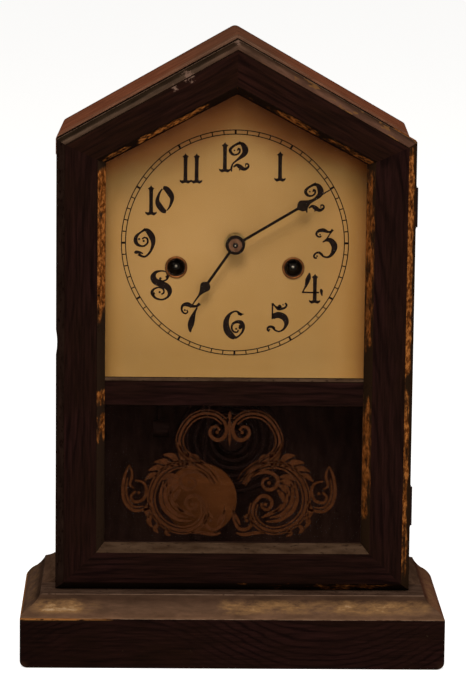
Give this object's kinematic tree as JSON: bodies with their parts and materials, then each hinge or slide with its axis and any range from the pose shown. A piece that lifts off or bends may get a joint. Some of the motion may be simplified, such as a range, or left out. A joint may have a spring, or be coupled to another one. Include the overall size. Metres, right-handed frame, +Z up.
{
  "type": "mantel clock",
  "caption": "Small gabled wooden mantel clock with a glazed hinged door, painted dial, stencilled lower glass, ogee base and spring-driven striking pendulum movement.",
  "frame": {"origin": "on the resting plane, under the middle of the base's bounding box", "axes": "+Z up, -Y out of the door, +X to the viewer's right when facing the dial"},
  "size_m": [0.2368, 0.1054, 0.3506],
  "materials": {
    "case_wood": "aged dark varnish, worn arrises",
    "door_wood": "aged dark varnish over figured veneer",
    "inner_wood": "plain unfinished",
    "dial_paper": "aged cream paint",
    "glass": "clear, thin",
    "grommet_brass": "tarnished",
    "movement_brass": "dull stamped sheet",
    "bob_brass": "polished, dulled",
    "steel": "dull",
    "spring_steel": "blued",
    "iron": "blackened",
    "hand_black": "blackened",
    "copper": "coppery, aged"
  },
  "bodies": {
    "case": {"base_board": "case_wood", "front_plinth": "case_wood", "left_plinth": "case_wood", "right_plinth": "case_wood", "left_side_board": "case_wood", "right_side_board": "case_wood", "left_roof_board": "case_wood", "right_roof_board": "case_wood", "back_board": "inner_wood", "cleats_and_rails": "inner_wood", "dial_plate": "dial_paper", "winding_grommets": "grommet_brass", "case_screws": "steel", "hinge_case_leaves": "grommet_brass", "hinge_pins": "steel", "catch_plate": "grommet_brass", "movement_front_plate": "movement_brass", "movement_back_plate": "movement_brass", "movement_pillars": "steel", "plate_studs_and_nuts": "steel", "side_coves": "case_wood", "time_mainspring": "spring_steel", "strike_mainspring": "spring_steel", "gong_block": "iron", "gong_coil": "spring_steel"},
    "door": {"door_left_stile": "door_wood", "door_right_stile": "door_wood", "door_left_gable_rail": "door_wood", "door_right_gable_rail": "door_wood", "door_bottom_rail": "door_wood", "door_muntin": "door_wood", "dial_glass": "glass", "tablet_glass": "glass", "glazing_beads": "inner_wood", "hinge_door_leaves": "grommet_brass", "hinge_door_screws": "steel", "catch_peg": "grommet_brass"},
    "minute": {"center_arbor": "steel", "center_wheel": "movement_brass", "minute_hand": "hand_black", "hand_collet": "copper"},
    "minute_work": {"minute_wheel": "movement_brass"},
    "hour": {"hour_wheel": "movement_brass", "hour_hand": "hand_black"},
    "time_main": {"time_main_wheel": "movement_brass"},
    "time_winding": {"time_winding_arbor": "steel"},
    "third": {"third_wheel": "movement_brass"},
    "escape": {"escape_wheel": "movement_brass"},
    "verge": {"verge": "steel"},
    "pendulum": {"suspension_spring": "steel", "pendulum_rod": "steel", "pendulum_bob": "bob_brass", "rating_nut": "bob_brass"},
    "strike_main": {"strike_main_wheel": "movement_brass", "count_wheel": "movement_brass"},
    "strike_winding": {"strike_winding_arbor": "steel"},
    "strike_pin": {"strike_pin_wheel": "movement_brass"},
    "strike_warning": {"strike_warning_wheel": "movement_brass"},
    "fly": {"strike_fly": "movement_brass"},
    "hammer": {"hammer": "steel"}
  },
  "joints": [
    {"name": "door_hinge", "type": "hinge", "parent": "case", "child": "door", "pos_m": [0.0995, -0.019, 0.17095], "axis": [0, 0, 1], "range_deg": [0, 115]},
    {"name": "minute_turn", "type": "hinge", "parent": "case", "child": "minute", "pos_m": [0, 0, 0.2332], "axis": [0, 1, 0], "continuous": true},
    {"name": "minute_wheel_turn", "type": "hinge", "parent": "case", "child": "minute_work", "pos_m": [0, 0, 0.2196], "axis": [0, 1, 0], "continuous": true},
    {"name": "hour_turn", "type": "hinge", "parent": "case", "child": "hour", "pos_m": [0, 0, 0.2332], "axis": [0, 1, 0], "continuous": true},
    {"name": "time_main_turn", "type": "hinge", "parent": "case", "child": "time_main", "pos_m": [0.0328, 0, 0.21925], "axis": [0, 1, 0], "continuous": true},
    {"name": "time_winding_turn", "type": "hinge", "parent": "time_main", "child": "time_winding", "pos_m": [0.0328, 0, 0.21925], "axis": [0, 1, 0], "continuous": true},
    {"name": "third_turn", "type": "hinge", "parent": "case", "child": "third", "pos_m": [0.0132, 0, 0.25606], "axis": [0, 1, 0], "continuous": true},
    {"name": "escape_turn", "type": "hinge", "parent": "case", "child": "escape", "pos_m": [0, 0, 0.27303], "axis": [0, 1, 0], "continuous": true},
    {"name": "pendulum_swing", "type": "hinge", "parent": "case", "child": "pendulum", "pos_m": [0, 0, 0.2956], "axis": [0, 1, 0], "range_deg": [-9.8, 0.2]},
    {"name": "verge_rock", "type": "hinge", "parent": "case", "child": "verge", "pos_m": [0, 0, 0.2956], "axis": [0, 1, 0], "range_deg": [-9.8, 0.2]},
    {"name": "strike_pin_turn", "type": "hinge", "parent": "case", "child": "strike_pin", "pos_m": [-0.04149, 0, 0.25169], "axis": [0, 1, 0], "continuous": true},
    {"name": "strike_main_turn", "type": "hinge", "parent": "case", "child": "strike_main", "pos_m": [-0.0328, 0, 0.21925], "axis": [0, 1, 0], "continuous": true},
    {"name": "strike_winding_turn", "type": "hinge", "parent": "strike_main", "child": "strike_winding", "pos_m": [-0.0328, 0, 0.21925], "axis": [0, 1, 0], "continuous": true},
    {"name": "strike_warning_turn", "type": "hinge", "parent": "case", "child": "strike_warning", "pos_m": [-0.02864, 0, 0.26701], "axis": [0, 1, 0], "continuous": true},
    {"name": "fly_turn", "type": "hinge", "parent": "case", "child": "fly", "pos_m": [-0.03548, 0, 0.2817], "axis": [0, 1, 0], "continuous": true},
    {"name": "hammer_lift", "type": "hinge", "parent": "case", "child": "hammer", "pos_m": [-0.042, 0, 0.1806], "axis": [0, 1, 0], "range_deg": [0, 8]}
  ],
  "couplings": [
    {"joint": "time_main_turn", "follows": "minute_turn", "ratio": -0.083333},
    {"joint": "minute_wheel_turn", "follows": "minute_turn", "ratio": -0.33333},
    {"joint": "hour_turn", "follows": "minute_turn", "ratio": 0.083333},
    {"joint": "third_turn", "follows": "minute_turn", "ratio": -10},
    {"joint": "escape_turn", "follows": "minute_turn", "ratio": 97.5},
    {"joint": "verge_rock", "follows": "pendulum_swing", "ratio": 1},
    {"joint": "strike_main_turn", "follows": "strike_pin_turn", "ratio": -0.088889},
    {"joint": "strike_warning_turn", "follows": "strike_pin_turn", "ratio": -9},
    {"joint": "fly_turn", "follows": "strike_pin_turn", "ratio": 72}
  ]
}
